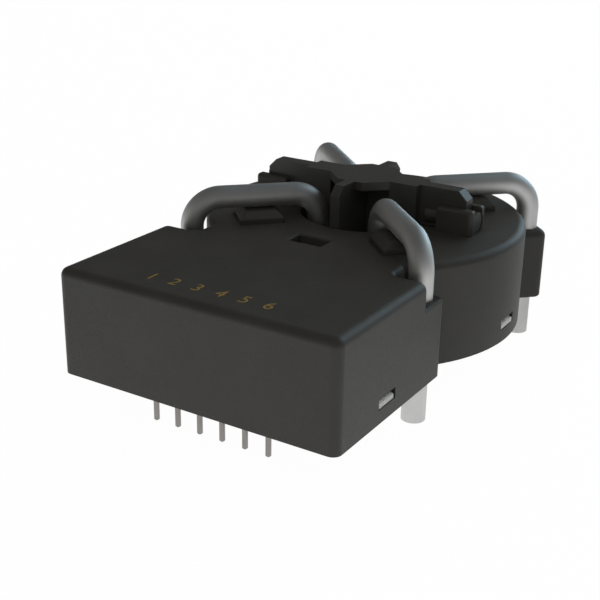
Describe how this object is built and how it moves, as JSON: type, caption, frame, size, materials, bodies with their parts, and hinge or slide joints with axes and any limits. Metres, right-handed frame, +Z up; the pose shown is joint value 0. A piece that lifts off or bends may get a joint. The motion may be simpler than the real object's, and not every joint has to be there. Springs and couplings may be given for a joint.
{
  "type": "residual current sensor",
  "caption": "Board-mounted residual-current sensor: a black electronics box joined to a round core drum, with thick tinned conductors crossing its top and passing through its centre.",
  "frame": {"origin": "on the axis of the drum's central hole, in the plane of the circuit board that the sensor is soldered to, which is the plane of the case's lower rim", "axes": "+Z up along the axis of the hole, away from the circuit board; -Y towards the electronics box with the signal pins, the front; +X to the right seen from the front"},
  "size_m": [0.034, 0.0484, 0.0195],
  "materials": {
    "case_plastic": "fine matt moulded black",
    "cover_plastic": "natural light grey, matt",
    "separator_plastic": "matt moulded black",
    "tinned_copper": "copper with a satin tin coating",
    "pin_metal": "brass with a satin tin coating",
    "board_laminate": "green solder mask",
    "core_strip": "wound soft magnetic strip",
    "core_case_plastic": "matt moulded dark grey",
    "winding_wire": "enamelled copper wire",
    "shield_sheet": "soft magnetic sheet",
    "chip_epoxy": "matt moulding compound",
    "tantalum_epoxy": "matt moulding compound",
    "ceramic": "ceramic with tinned ends",
    "resistor_body": "glazed thick film"
  },
  "bodies": {
    "root": {"case": "case_plastic", "base_cover": "cover_plastic", "separator": "separator_plastic", "conductor_front_left": "tinned_copper", "conductor_front_right": "tinned_copper", "conductor_rear_right": "tinned_copper", "conductor_rear_left": "tinned_copper", "signal_pin_1": "pin_metal", "signal_pin_2": "pin_metal", "signal_pin_3": "pin_metal", "signal_pin_4": "pin_metal", "signal_pin_5": "pin_metal", "signal_pin_6": "pin_metal", "circuit_board": "board_laminate", "magnetic_core": "core_strip", "core_case": "core_case_plastic", "core_case_lid": "core_case_plastic", "winding": "winding_wire", "winding_lead_left": "winding_wire", "winding_lead_right": "winding_wire", "shield_ring": "shield_sheet", "processor_chip": "chip_epoxy", "amplifier_chip": "chip_epoxy", "tantalum_capacitor": "tantalum_epoxy", "filter_capacitor": "ceramic", "burden_resistor_left": "resistor_body", "burden_resistor_right": "resistor_body"}
  },
  "joints": []
}
